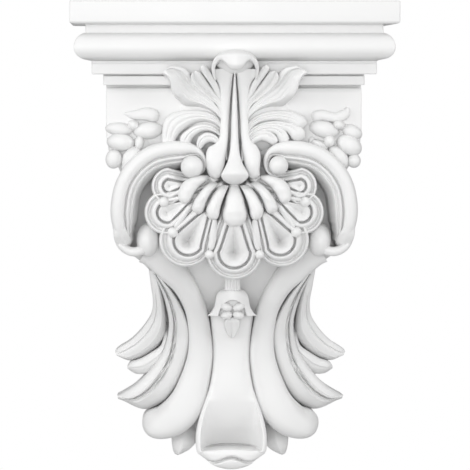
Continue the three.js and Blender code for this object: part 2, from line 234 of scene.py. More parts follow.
@dataclass
class Member:
    """A carved member along a path in the face plane.

    Its rows are x, z, depth of the crown and half width. Across, the surface falls back from the
    crown by the section, and its flanks run straight back to the depth where it ends in the body.
    """

    stations: Knots
    section: Section = pillow(5.0)
    back: float = 98.0
    rounding: tuple[float, float] = (0.0, 0.9)
    drop: float = 5.0
    steps: int = 40
    across: int = 21

    def shares(self) -> Array:
        """Places along the member, closer together at its rounded ends."""
        even = np.linspace(0, 1, self.steps)
        starts, ends = (value > 0 for value in self.rounding)
        if starts and ends:
            return (1 - np.cos(math.pi * even)) / 2
        if ends:
            return np.sin(math.pi / 2 * even)
        return 1 - np.cos(math.pi / 2 * even) if starts else even

    def build(self) -> Relief:
        """Carries the section along the path; a rounded end closes as a quarter ellipse."""
        t = self.shares()
        x, z, depth, half = along_curve(self.stations, t).T
        half = np.maximum(half, 0.05)
        length = np.hypot(np.diff(x), np.diff(z)).sum()
        share = np.ones_like(t)
        for reach, gone in ((self.rounding[0], t), (self.rounding[1], 1 - t)):
            if reach > 0:
                rest = np.clip(1 - gone * length / (reach * half), 0, 1)
                share = np.minimum(share, np.sqrt(1 - rest**2))
        slope = np.stack([np.gradient(x), np.gradient(z)])
        slope /= np.maximum(np.hypot(*slope), 1e-9)
        u = across_share(self.across)
        reach = np.maximum(half * share, 0.03)[:, None] * u
        top = depth - self.drop * (1 - share)
        fall = self.section(u[None, :], t[:, None]) * np.maximum(share, 0.05)[:, None]
        front = np.stack([
            x[:, None] + slope[1][:, None] * reach,
            z[:, None] - slope[0][:, None] * reach,
            np.maximum(top[:, None] - fall, self.back + 0.5),
        ], axis=-1)
        return backed(front, self.back)


@dataclass
class Blade:
    """A carved leaf between two outlines in the face plane.

    The outlines are rows of x and z with as many knots each. u is -1 on the first and 1 on the second.
    """

    first: Knots
    second: Knots
    crown: Sequence[float]
    section: Section = pillow(5.0)
    back: float = 98.0
    full_width: float = 8.0
    steps: int = 48
    across: int = 25

    def build(self) -> Relief:
        """Spans the outlines; the section flattens where the leaf is narrower than its full width."""
        a, b = spline(self.first, self.steps), spline(self.second, self.steps)
        depth = spline([[value] for value in self.crown], self.steps)[:, 0]
        t = np.linspace(0, 1, self.steps)
        u = across_share(self.across)
        width = np.hypot(*(b - a).T)
        share = np.clip(width / self.full_width, 0.02, 1)
        middle, reach = (a + b) / 2, (b - a) / 2
        fall = self.section(u[None, :], t[:, None]) * share[:, None]
        front = np.stack([
            middle[:, :1] + reach[:, :1] * u,
            middle[:, 1:] + reach[:, 1:] * u,
            np.maximum(depth[:, None] - fall, self.back + 0.5),
        ], axis=-1)
        return backed(front, self.back)


@dataclass
class Ball:
    """A flattened ball: centre, half sizes across, up and out, and its turn in degrees."""

    centre: tuple[float, float, float]
    half: tuple[float, float, float]
    turn: float = 0.0
    rows: int = 18
    columns: int = 28
    fullness: float = 1.0

    def build(self) -> Relief:
        """Rings of latitude round the axis out of the wall; a fullness under 1 flattens the face."""
        tall = np.linspace(0, math.pi, self.rows)[:, None]
        round_ = np.linspace(0, 2 * math.pi, self.columns, endpoint=False)[None, :]
        wide = np.maximum(np.sin(tall) ** self.fullness, 0.003)
        a = self.half[0] * wide * np.cos(round_)
        b = self.half[1] * wide * np.sin(round_)
        c, s = math.cos(math.radians(self.turn)), math.sin(math.radians(self.turn))
        out = self.half[2] * np.cos(tall) * np.ones_like(round_)
        x, z, depth = self.centre
        return skin(np.stack([x + a * c - b * s, z + a * s + b * c, depth + out], axis=-1))


# Finish


class Socket:
    """A number in a shader tree, with the arithmetic operators that add Math nodes."""

    def __init__(self, tree: "ShaderTree", link: Any) -> None:
        """Wraps an output of a node in the tree."""
        self.tree = tree
        self.link = link

    def _math(self, operation: str, *values: Any) -> "Socket":
        """Adds a Math node on the given values."""
        return self.tree.math(operation, *values)

    def __add__(self, other: Any) -> "Socket":
        """Sum."""
        return self._math("ADD", self, other)

    def __mul__(self, other: Any) -> "Socket":
        """Product."""
        return self._math("MULTIPLY", self, other)

    def __sub__(self, other: Any) -> "Socket":
        """Difference."""
        return self._math("SUBTRACT", self, other)

    def __rsub__(self, other: Any) -> "Socket":
        """Difference from a number."""
        return self._math("SUBTRACT", other, self)

    __radd__ = __add__
    __rmul__ = __mul__


class ShaderTree:
    """A material's node tree with short calls for its nodes."""

    def __init__(self, name: str) -> None:
        """Starts a material with an empty tree."""
        self.material = bpy.data.materials.new(name)
        self.material.use_nodes = True
        self.nodes = self.material.node_tree.nodes
        self.links = self.material.node_tree.links
        self.nodes.clear()

    def node(self, kind: str, settings: dict[str, Any] | None = None, **sockets: Any) -> Any:
        """Adds a node.

        Args:
            kind: the node's type.
            settings: attributes of the node, set before its sockets.
            sockets: values or links of its inputs, named with underscores for spaces.

        Returns:
            The node.
        """
        made = self.nodes.new(kind)
        for key, value in (settings or {}).items():
            setattr(made, key, value)
        for key, value in sockets.items():
            self.feed(made.inputs[key.replace("_", " ")], value)
        return made

    def feed(self, socket: Any, value: Any) -> None:
        """Links or sets one input."""
        if isinstance(value, Socket):
            self.links.new(value.link, socket)
        elif isinstance(value, bpy.types.NodeSocket):
            self.links.new(value, socket)
        else:
            socket.default_value = value

    def math(self, operation: str, *values: Any) -> Socket:
        """Adds a Math node on numbers or sockets."""
        made = self.nodes.new("ShaderNodeMath")
        made.operation = operation
        for socket, value in zip(made.inputs, values):
            self.feed(socket, value)
        return Socket(self, made.outputs[0])


@dataclass(frozen=True)
class FactoryPrimer:
    """White factory primer on moulded foam: matt to satin, with a faint sprayed grain."""

    white: tuple[float, float, float, float] = (0.79, 0.79, 0.787, 1)
    shade: tuple[float, float, float, float] = (0.75, 0.75, 0.75, 1)
    roughness: float = 0.48
    roughness_swing: float = 0.12
    cloud_scale: float = 28.0
    grain_scale: float = 900.0
    grain_strength: float = 0.05
    grain_height: float = 0.0004

    def build(self) -> bpy.types.Material:
        """Clouds of slightly thinner primer vary colour and gloss, and fine noise lifts the surface."""
        tree = ShaderTree(SLOT)
        spot = tree.node("ShaderNodeTexCoord").outputs["Object"]
        clouds = tree.node("ShaderNodeTexNoise", Vector=spot, Scale=self.cloud_scale, Detail=3.0)
        thin = Socket(tree, clouds.outputs["Fac"])
        colour = tree.node("ShaderNodeMix", {"data_type": "RGBA"})
        tree.feed(colour.inputs[0], tree.math("MULTIPLY", thin, 0.5))
        tree.feed(colour.inputs[6], self.white)
        tree.feed(colour.inputs[7], self.shade)
        grain = tree.node("ShaderNodeTexNoise", Vector=spot, Scale=self.grain_scale, Detail=2.0)
        bump = tree.node(
            "ShaderNodeBump",
            Height=grain.outputs["Fac"],
            Strength=self.grain_strength,
            Distance=self.grain_height,
        )
        skin_node = tree.node(
            "ShaderNodeBsdfPrincipled",
            Base_Color=colour.outputs[2],
            Roughness=(thin - 0.5) * self.roughness_swing + self.roughness,
            Normal=bump.outputs["Normal"],
        )
        output = tree.node("ShaderNodeOutputMaterial")
        tree.links.new(skin_node.outputs["BSDF"], output.inputs["Surface"])
        return tree.material


# Castings


@dataclass
class Casting:
    """One part of the moulding: closed surfaces united into one closed mesh."""

    grid: CarvingGrid = field(default_factory=CarvingGrid)
    drafted: bool = True
    crease: float = 38.0
    reliefs: list[Relief] = field(default_factory=list)
    name: str = "casting"

    def add(self, *reliefs: Relief) -> None:
        """Adds surfaces as they stand."""
        self.reliefs.extend(reliefs)

    def add_both(self, relief: Relief) -> None:
        """Adds a surface on both sides of the centre line."""
        self.reliefs.extend(relief.mirrored(side) for side in Side)

    def carve(self) -> None:
        """Adds this casting's surfaces."""
        raise NotImplementedError

    def mesh_object(self, relief: Relief, label: str) -> bpy.types.Object:
        """Makes one surface an object with its faces pointing outwards.

        Args:
            relief: the surface in the carving grid.
            label: the object's name.

        Returns:
            The object, not yet in a collection.
        """
        placed = self.grid.drafted(relief.points) if self.drafted else relief.points
        points = self.grid.world(placed)
        faces = relief.faces
        tris = np.array([(f[0], f[i], f[i + 1]) for f in faces for i in range(1, len(f) - 1)])
        a, b, c = (points[tris[:, i]] for i in range(3))
        if np.einsum("ij,ij->i", a, np.cross(b, c)).sum() < 0:
            faces = [face[::-1] for face in faces]
        mesh = bpy.data.meshes.new(label)
        mesh.from_pydata(points.tolist(), [], faces)
        return bpy.data.objects.new(label, mesh)

    def unite(self) -> bpy.types.Mesh:
        """Unites the surfaces into one mesh and removes the scratch objects."""
        parts = [self.mesh_object(relief, f"{self.name}_{i}") for i, relief in enumerate(self.reliefs)]
        base, others = parts[0], parts[1:]
        bench = bpy.data.collections.new(f"{self.name}_bench")
        for part in others:
            bench.objects.link(part)
        bpy.context.scene.collection.objects.link(base)
        if others:
            union = base.modifiers.new("union", "BOOLEAN")
            union.operation = "UNION"
            union.solver = "MANIFOLD"
            union.operand_type = "COLLECTION"
            union.collection = bench
        evaluated = base.evaluated_get(bpy.context.evaluated_depsgraph_get())
        mesh = bpy.data.meshes.new_from_object(evaluated)
        for part in parts:
            scratch = part.data
            bpy.data.objects.remove(part)
            bpy.data.meshes.remove(scratch)
        bpy.data.collections.remove(bench)
        return mesh

    def build(self, finish: bpy.types.Material) -> bpy.types.Object:
        """Carves, unites, dresses and registers the casting."""
        self.carve()
        mesh = outer_shell(self.unite(), self.name)
        mesh.materials.clear()
        mesh.materials.append(finish)
        mesh.shade_smooth()
        mesh.set_sharp_from_angle(angle=math.radians(self.crease))
        piece = bpy.data.objects.new(self.name, mesh)
        bpy.context.scene.collection.objects.link(piece)
        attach(piece, BODY)
        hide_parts(NODE)
        triangles = sum(len(face.vertices) - 2 for face in mesh.polygons)
        log.info("%s: %d triangles", self.name, triangles)
        return piece


def outer_shell(mesh: bpy.types.Mesh, name: str) -> bpy.types.Mesh:
    """Drops the shells of a mesh that face inwards, so that sealed pockets inside it are filled.

    Args:
        mesh: the united mesh, which is removed.
        name: name of the new mesh.

    Returns:
        A mesh of closed shells that face outwards, in triangles.
    """
    mesh.calc_loop_triangles()
    tris = np.empty(len(mesh.loop_triangles) * 3, dtype=np.int32)
    mesh.loop_triangles.foreach_get("vertices", tris)
    tris = tris.reshape(-1, 3)
    points = np.empty(len(mesh.vertices) * 3)
    mesh.vertices.foreach_get("co", points)
    points = points.reshape(-1, 3)
    label = np.arange(len(points))
    while True:
        lowest = label[tris].min(axis=1)
        fresh = label.copy()
        for corner in range(3):
            np.minimum.at(fresh, tris[:, corner], lowest)
        fresh = fresh[fresh]
        if np.array_equal(fresh, label):
            break
        label = fresh
    owner = label[tris[:, 0]]
    a, b, c = (points[tris[:, i]] for i in range(3))
    volume = np.bincount(owner, weights=np.einsum("ij,ij->i", a, np.cross(b, c)), minlength=len(points))
    kept = tris[volume[owner] > 0]
    used, renumbered = np.unique(kept, return_inverse=True)
    solid = bpy.data.meshes.new(name)
    solid.from_pydata(points[used].tolist(), [], renumbered.reshape(-1, 3).tolist())
    bpy.data.meshes.remove(mesh)
    return solid


@dataclass
class Cornice(Casting):
    """Stepped cornice and the block under it, with softened edges.

    Slab, neck, step and band are distances out from the block and heights. Rows of the roll and the grooves
    are out, height and how far the front is cut in.
    """

    name: str = "cornice"
    drafted: bool = False
    crease: float = 30.0
    block_half_width: float = 85.2
    block_depth: float = 121.0
    top: float = 155.1
    slab: tuple[float, float] = (24.3, 15.3)
    slab_round: tuple[float, float] = (2.6, 1.9)
    neck: tuple[float, float] = (13.6, 6.1)
    roll: Knots = (
        (0.3, 0.2, 0), (2.6, -0.5, 0), (5.0, -2.2, 0), (7.0, -5.2, 0), (7.8, -8.8, 0), (7.3, -12.2, 0),
        (5.6, -14.8, 0), (3.0, -16.6, 0), (0, -17.4, 0.8), (-2.4, -17.9, 2.4), (-3.9, -18.6, 3.8),
        (-3.95, -20.2, 3.8), (-3.95, -20.3, 0),
    )
    step: tuple[float, float] = (9.65, 27.3)
    step_groove: Knots = ((0.2, 0.5, 4.0), (0, 0.4, 4.8), (0, -0.6, 4.8), (0, -1.2, 4.4), (0, -1.3, 0))
    band: tuple[float, float] = (1.9, 7.2)
    band_groove: Knots = (
        (0.3, 0.2, 7.0), (0, 0.1, 8.0), (0, -1.0, 8.0), (0, -2.0, 7.4), (0, -2.2, 1.6), (0, -3.8, 0.5),
        (0, -5.4, 0),
    )
    edge: float = 0.9
    cove: tuple[float, float] = (1.4, 1.2)
    band_edge: float = 0.5
    block_drop: float = 30.0

    @staticmethod
    def quarter(out: float, z: float, wide: float, tall: float, start: float, turn: float = -90.0) -> Array:
        """A quarter of an ellipse round (out, z), from an angle in degrees through a turn."""
        angle = np.radians(np.linspace(start, start + turn, 7))
        return np.stack([out + wide * np.cos(angle), z + tall * np.sin(angle), 0 * angle], axis=1)

    @staticmethod
    def smooth(knots: Knots, straight: int) -> Array:
        """A smooth curve through knots that keeps the last ones as corners."""
        return np.vstack([spline(knots[:-straight + 1], 60), np.array(knots[-straight + 1:])])

    def profile(self) -> Array:
        """The moulding from the top down: distance out from the block, height, and cut into the front."""
        e, small = self.edge, self.band_edge
        cove_out, cove_drop = self.cove
        slab_foot = self.top - self.slab[1]
        neck_foot = slab_foot - self.neck[1]
        step_foot = neck_foot - self.step[1]
        band_foot = step_foot - self.band[1]
        wide, tall = self.slab_round
        return np.vstack([
            self.quarter(self.slab[0] - e, self.top - e, e, e, 90),
            self.quarter(self.slab[0] - wide, slab_foot + tall, wide, tall, 0),
            self.quarter(self.neck[0] + cove_out, slab_foot - cove_drop, cove_out, cove_drop, 90, 90),
            self.smooth(self.roll, 5) + np.array([self.neck[0], neck_foot, 0]),
            self.quarter(self.step[0] - e, step_foot + e, e, e, 0),
            np.array(self.step_groove) + np.array([self.band[0], step_foot, 0]),
            self.quarter(self.band[0] - small, band_foot + small, small, small, 0),
            np.array(self.band_groove) + np.array([0, band_foot, 0]),
        ])

    def ring(self, half: float, depth: float, z: float, radius: float) -> Array:
        """A rectangle against the wall with its two front corners rounded."""
        angle = np.radians(np.linspace(180, 90, 6))
        left = np.stack([
            -half + radius + radius * np.cos(angle),
            np.full(6, z),
            depth - radius + radius * np.sin(angle),
        ], axis=1)
        right = left[::-1] * np.array([-1, 1, 1])
        return np.vstack([[[-half, z, 0]], left, right, [[half, z, 0]]])

    def carve(self) -> None:
        """The cornice is rings that follow its profile, and one ring more is the block's foot."""
        rings = [
            self.ring(self.block_half_width + out, self.block_depth + out - cut, z, self.edge)
            for out, z, cut in self.profile()
        ]
        foot = rings[-1][0][1] - self.block_drop
        rings.append(self.ring(self.block_half_width, self.block_depth, foot, self.edge))
        self.add(skin(np.stack(rings)))


@dataclass
class Console(Casting):
    """The console under the block: core, straps, acanthus blades, dished tongue and pendant.

    Rows of the core are height, half width, depth and corner; of the strap x, z, depth and half width; and
    of the tongue height, half width, depth and dish.
    """

    name: str = "console"
    block_foot: float = 65.0
    core_clearance: float = 1.5
    core: Knots = (
        (92, 85.0, 120.4, 1.5), (78, 85.4, 120.7, 1.5), (66, 85.4, 120.7, 2), (54, 83, 118, 3),
        (46, 78, 108, 4), (38, 76, 96, 4), (27, 80, 91, 4), (14, 82, 91, 4), (4, 82, 91, 5), (-5, 78, 91, 8),
        (-12, 71, 92, 12), (-20, 61, 88, 14), (-30, 53, 79, 16), (-44, 45, 65, 18), (-60, 39, 51, 20),
        (-80, 36, 40, 22), (-105, 38, 32, 24), (-125, 36, 26, 24), (-140, 32, 22, 20), (-150, 22, 20, 14),
        (-159, 12, 18, 10),
    )
    strap: Knots = (
        (57, -8, 108, 12.5), (52, -12, 106, 11.6), (41, -24.5, 98, 9.6), (33.4, -34.2, 90, 8.1),
        (27.9, -44.2, 81, 7.6), (24.2, -54.7, 73, 7.5), (21.8, -69.8, 65, 7.9), (21.5, -83.8, 61, 8.9),
        (23.2, -94.3, 59, 9.8), (26, -104.8, 58, 10.9), (30.8, -117.6, 57, 12.2), (39.2, -128.1, 55, 12.6),
        (49.7, -133, 51, 11.4), (62.5, -131.2, 44, 10),
    )
    tongue: Knots = (
        (-56, 15, 71, 0), (-60, 14.6, 68.4, 0), (-75, 13.2, 62, 0), (-90, 13, 60, 0), (-104, 14.8, 59.5, 0),
        (-112, 17, 59.5, 0.8), (-119, 19.4, 59.7, 2.8), (-126, 21.8, 60.4, 6.4), (-133, 23.6, 61.4, 11.6),
        (-139, 24.6, 62.2, 17.2), (-144, 24.8, 62.8, 22.2), (-147.2, 24.5, 62.9, 25.4),
        (-148.6, 24.1, 62.9, 26.8),
        (-149.2, 23.7, 62.9, 4), (-151.2, 22.8, 63.2, 0), (-158.4, 16.6, 62.5, 0), (-162.4, 10, 60, 0),
        (-164.6, 1.2, 56, 0),
    )

    dish_rim: float = 0.88
    lip_line: float = -157.2
    lip_wave: tuple[float, float] = (1.7, 0.25)
    lip_top: float = -148.5

    def core_body(self) -> Relief:
        """Rounded rectangles whose size, depth and corner follow smooth curves down the core.

        Above the block's foot the core is inside the block, clear of its flat back.
        """
        z, half, depth, radius = spline(self.core, 90).T
        angle = np.radians(np.linspace(180, 90, 8))[None, :]
        corner_x = -half[:, None] + radius[:, None] * (1 + np.cos(angle))
        corner_d = depth[:, None] - radius[:, None] * (1 - np.sin(angle))
        level = np.broadcast_to(z[:, None], corner_x.shape)
        left = np.stack([corner_x, level, corner_d], axis=-1)
        right = left[:, ::-1] * np.array([-1, 1, 1])
        wall = np.where(z > self.block_foot, self.core_clearance, 0.0)
        first = np.stack([-half, z, wall], axis=-1)[:, None]
        last = np.stack([half, z, wall], axis=-1)[:, None]
        return skin(np.concatenate([first, left, right, last], axis=1))

    def tongue_body(self) -> Relief:
        """Rows across the tongue: raised rims, a hollow between them and a waved double lip below."""
        z, half, depth, dish = spline(self.tongue, 200).T
        half = np.maximum(half, 0.6)
        z = np.maximum(z, self.grid.foot)
        u = across_share(45)[None, :]
        x = u * half[:, None]
        hollow = dish[:, None] * np.clip(1 - (np.abs(u) / self.dish_rim) ** 7, 0, 1)
        swell = 1.6 * u**2 * (1 - smooth_step(0, 2, dish))[:, None]
        edge = rounded_edge(u, 5.0, 7) + swell
        height, pitch = self.lip_wave
        wave = self.lip_line + height * np.cos(x * pitch)
        lips = notch(z[:, None], wave, 1.0, 5)
        surface = depth[:, None] - hollow - edge - lips
        arched = z[:, None] - u**2 * notch(z[:, None], self.lip_top, 5, 2.8)
        front = np.stack([x, arched, surface], axis=-1)
        return backed(front, 0)

    @staticmethod
    def roof(ridge: float, near: float, far: float, round_off: float) -> Section:
        """Section with a ridge: near and far are the falls from it to the first and second edge."""

        def fall(u: Array, t: Array) -> Array:
            left = near * np.clip((ridge - u) / (ridge + 1), 0, 1) ** 1.4
            right = far * np.clip((u - ridge) / (1 - ridge), 0, 1) ** 1.5
            return left + right + rounded_edge(u, round_off, 8)

        return fall

    def blades(self) -> list[Relief]:
        """The three acanthus blades behind the strap, from the upper one down, on the right side."""
        upper = Blade(
            first=[(57.5, -24), (56, -36), (54.8, -46), (56, -55.4), (60, -62.6), (65.5, -69.4),
                   (71.6, -75), (77.8, -78.8), (81.2, -81.4), (82, -83.4)],
            second=[(51, -26), (48.5, -38), (46.8, -48), (45.6, -60), (46.4, -69.5), (50.4, -77.4),
                    (56.6, -83.2), (64, -87.6), (72.4, -89.6), (80.6, -86)],
            crown=[80, 72, 63, 53, 47, 41, 36, 32, 29, 26],
            section=self.veined(
                self.roof(0.3, 2.2, 8.5, 3),
                [(-0.36, 0.08, 1.0), (-0.52, 0.08, -0.6), (-0.2, 0.08, -0.4), (0.26, 0.05, 0.5)],
            ),
            back=0,
        )
        small = Blade(
            first=[(46.4, -56), (46.2, -64), (47, -70), (49.5, -78), (56.4, -83.2), (63.5, -87.5),
                   (70.5, -90), (73.2, -93.4)],
            second=[(42.6, -56), (42, -64), (42.4, -72), (47, -86), (53, -94), (60, -98.6), (67.5, -98.8),
                    (73, -95.4)],
            crown=[22, 31, 39, 40, 37, 33, 29, 24],
            section=self.veined(self.roof(-0.2, 3, 6, 2.4), [(0.05, 0.09, 0.8)]),
            back=0,
        )
        large = Blade(
            first=[(54, -27), (48.6, -39), (45.4, -50), (43.6, -60.5), (44.5, -71), (47.8, -82),
                   (53.5, -91), (60.5, -99.5), (68, -106.5), (75, -111), (80.4, -114)],
            second=[(50, -28), (40.4, -40), (33.6, -52), (29.2, -64), (28.4, -75), (30.4, -86.5),
                    (34.4, -98.5), (39, -108), (47.4, -118.4), (61.5, -124.6), (79.6, -117)],
            crown=[92, 82, 70, 61, 54, 50, 47, 44, 41, 36, 28],
            section=self.large_blade_section(),
            back=0,
            steps=64,
            across=37,
        )
        tip = Blade(
            first=[(20, -128), (22, -136), (24, -147), (28, -152.4), (32.5, -155.4), (36.8, -157.2)],
            second=[(34, -128), (41.2, -136), (41.8, -144), (41.2, -151), (39.8, -156), (37.4, -157.4)],
            crown=[16, 22, 28, 29, 26, 20],
            section=self.roof(0.0, 7, 7, 2.2),
            back=0,
        )
        web = Blade(
            first=[(55, -27), (53, -40), (51, -52), (52, -62), (57, -72), (63, -80), (68, -86), (66, -93),
                   (62, -100)],
            second=[(44, -28), (38, -40), (34, -52), (32, -62), (32, -72), (34, -82), (37, -92), (42, -102),
                    (50, -110)],
            crown=[60, 48, 36, 28, 22, 17, 13, 12, 11],
            section=pillow(3),
            back=0,
        )
        return [blade.build() for blade in (upper, small, large, tip, web)]

    @staticmethod
    def veined(base: Section, veins: Sequence[tuple[float, float, float]]) -> Section:
        """Adds veins to a section: centre across, width and depth, fading in from the root."""

        def fall(u: Array, t: Array) -> Array:
            cut = sum(notch(u, centre, width, depth) for centre, width, depth in veins)
            return base(u, t) + cut * smooth_step(0.02, 0.3, t) * (1 - smooth_step(0.8, 1.0, t))

        return fall

    @staticmethod
    def large_blade_section() -> Section:
        """Two swellings with a double vein between them, falling steeply at both edges."""

        def fall(u: Array, t: Array) -> Array:
            vein = -0.34 + 0.1 * t - 0.22 * np.exp(-(((t - 0.36) / 0.17) ** 2))
            outer = 3.2 * np.clip((vein - 0.12 - u) / (1 + vein - 0.12), 0, 1) ** 1.8
            tip = smooth_step(0.66, 0.92, t)
            inner = 6.5 * np.clip((u - 0.25) / 0.75, 0, 1) ** 4 + 10 * tip * np.clip((u + 0.1) / 1.1, 0, 1)
            rolled = rounded_edge(u, 3.5, 8)
            ridges = notch(u, vein - 0.13, 0.07, 1.6) + notch(u, vein + 0.1, 0.05, 1.6)
            lines = notch(u, vein, 0.05, 3.2) + notch(u, vein + 0.2, 0.06, 2.2) - ridges
            fade = 1 - smooth_step(0.86, 1.0, t)
            return outer + inner + rolled + lines * fade

        return fall

    def straps(self) -> Relief:
        """A broad strap that runs down from the scroll and ends in a round foot."""

        def swelling(u: Array, t: Array) -> Array:
            return pillow(9 + 7 * smooth_step(0.75, 0.9, t), 2.6)(u, t)

        strap = Member(
            self.strap, section=swelling, back=0, rounding=(0, 1.0), drop=13, steps=90, across=37
        )
        return strap.build()

    def pendant(self) -> list[Relief]:
        """Fluted stem, bell with an arched mouth, small petals and a hanging leaf."""

        def reeds(u: Array, t: Array) -> Array:
            return 2.5 * u**2 + 0.45 * (1 - np.cos(u * math.pi * 5))

        bell = [(0, -37.1, 88.5, 4.9), (0, -38.7, 90.2, 8.4), (0, -41.5, 90.6, 10.5), (0, -44.5, 90.2, 11.2),
                (0, -48, 89.4, 11.9), (0, -51.3, 88.6, 13.1), (0, -53.9, 87.6, 15), (0, -55.6, 86.6, 16.9)]
        top, foot = bell[0][1], bell[-1][1]

        def arch(u: Array, t: Array) -> Array:
            z = top + (foot - top) * t
            half = np.interp(-z, [-row[1] for row in bell], [row[3] for row in bell])
            mouth = 9.8 * np.sqrt(np.clip(1 - ((z + 57) / 12.4) ** 2, 0, 1))
            return 7 * np.abs(u) ** 2.2 + 4.6 * smooth_step(-0.1, 0.9, mouth - np.abs(u) * half)

        parts = [
            Member([(0, -25, 95, 5.6), (0, -28, 93.5, 5.4), (0, -32, 92.4, 5.2), (0, -38, 91, 5.4)],
                   section=reeds, back=55, rounding=(0, 0), across=41, steps=14),
            Member(bell, section=arch, back=50, rounding=(0, 0), across=81, steps=70),
        ]
        reliefs = [part.build() for part in parts]
        for centre, half, turn in (
            ((4.1, -49.5, 85.8), (4.3, 2.9, 4.6), 16.0),
            ((4.0, -55.0, 85.4), (4.1, 2.8, 4.6), -12.0),
        ):
            petal = Ball(centre, half, turn).build()
            reliefs += [petal.mirrored(side) for side in Side]
        reliefs.append(
            Member([(0, -56.5, 81.5, 3.6), (0, -60, 80, 5.4), (0, -64, 76.5, 5.2), (0, -68, 73, 3.6),
                    (0, -71.6, 69.5, 1.4)],
                   section=self.veined(self.roof(0, -1.4, -1.4, 3.6), [(0.0, 0.16, 0.6)]),
                   back=50, rounding=(0.5, 0.8), drop=3, steps=30).build()
        )
        return reliefs

    def carve(self) -> None:
        """Adds the core and all that stands on it."""
        self.add(self.core_body(), self.tongue_body(), *self.pendant())
        for relief in [*self.blades(), self.straps()]:
            self.add_both(relief)


@dataclass
class ScrollPair(Casting):
    """The two great C-scrolls with their eyes and their turned-over feet.

    Rows of the paths are x, z, depth and band width; of the band its share of the width and its fall.
    """

    name: str = "scrolls"
    shoulder: Knots = (
        (24.4, 58.9, 136, 11), (30, 61.8, 137.5, 16), (38, 62.9, 138, 18.4), (47, 62.2, 138.3, 19),
        (57, 59.4, 138.3, 19), (66.4, 53.4, 138, 18.8), (74.8, 44, 137.6, 18.6), (80.4, 32.2, 136.6, 18.4),
        (82.8, 17, 134.6, 18.4), (81.2, 5, 131.6, 16.6), (77.6, -3, 126.6, 12.6), (73.8, -8, 120, 8.6),
    )
    left_wrap: Knots = (
        (24.6, 39.2, 129, 0.8), (21, 41.6, 130.5, 1.8), (18.9, 45.4, 132, 2.6), (18.8, 50, 133.4, 3.6),
        (20.6, 54.8, 134.8, 5.6),
    )
    right_wrap: Knots = (
        (36.5, 43.2, 127, 0.6), (34, 40.4, 128, 1.8), (30, 38.7, 129.5, 2.8), (25.6, 38.9, 131, 3.4),
        (21.8, 41.6, 132, 3.8), (19.7, 46, 133, 4.2), (19.5, 50.6, 134, 4.8), (21.1, 55.2, 135, 6.2),
    )
    band: Knots = (
        (0, 6.5), (0.015, 4.4), (0.06, 2.2), (0.13, 0.7), (0.24, 0), (0.36, 0.3), (0.45, 1.6), (0.5, 3.6),
        (0.53, 5.6), (0.555, 4.4), (0.585, 3), (0.635, 2.6), (0.675, 3.6), (0.71, 6.2), (0.735, 7.4),
        (0.77, 6.8), (0.81, 7.4), (0.86, 9.6), (0.92, 13.4), (1, 19),
    )
    back: float = 88.0
    full_width: float = 15.0
    steps: int = 130

    def scroll(self, side: Side) -> Relief:
        """Carries the band's section along the scroll's outer edge, turned to its inner side."""
        wrap = self.left_wrap if side is Side.LEFT else self.right_wrap
        t = np.linspace(0, 1, self.steps)
        x, z, crown, width = along_curve([*wrap, *self.shoulder], t).T
        slope = np.stack([np.gradient(x), np.gradient(z)])
        slope /= np.hypot(*slope)
        share, fall = spline(self.band, 90).T
        relief = np.clip(width / self.full_width, 0.05, 1)[:, None]
        reach = width[:, None] * share
        front = np.stack([
            x[:, None] + slope[1][:, None] * reach,
            z[:, None] - slope[0][:, None] * reach,
            np.maximum(crown[:, None] - fall * relief, self.back + 1),
        ], axis=-1)
        return backed(front, self.back).mirrored(side)

    def foot(self) -> list[Relief]:
        """The rounded end of the outer roll, the crescent under it and the bulb it turns over."""
        nose = Member(
            [(77.2, 8, 130, 3.6), (76.6, 3, 129.4, 4.4), (75.6, -0.6, 127.4, 5), (74, -4.4, 122.6, 5.2),
             (71.6, -8.6, 117.4, 4.6)],
            section=pillow(3), back=84, rounding=(0.5, 0.6), steps=30,
        )
        crescent = Member(
            [(80, 0, 122, 1.2), (76.6, -6.2, 122, 2.4), (71.8, -10, 122, 3), (66.4, -11.2, 122.5, 3.2),
             (61.4, -9.6, 122, 3.2), (58.6, -6.5, 120, 2.4)],
            section=pillow(4), back=80, rounding=(0.6, 1), steps=50,
        )
        return [nose.build(), crescent.build(), Ball((57.9, -3.2, 113), (7.8, 11.5, 13), 0, 26, 36).build()]

    def carve(self) -> None:
        """Adds both scrolls, their eyes and feet."""
        for side in Side:
            self.add(self.scroll(side))
        for centre, radius in (((-28.3, 45.4, 134), 7.6), ((29.4, 46.3, 133), 6.5)):
            x, z, _ = centre
            self.add(Ball(centre, (radius, radius, radius + 4.4), 0, 30, 44).build())
            self.add(Ball((x, z, 108), (radius - 2, radius - 2, 26), 0, 20, 28).build())
        for relief in self.foot():
            self.add_both(relief)


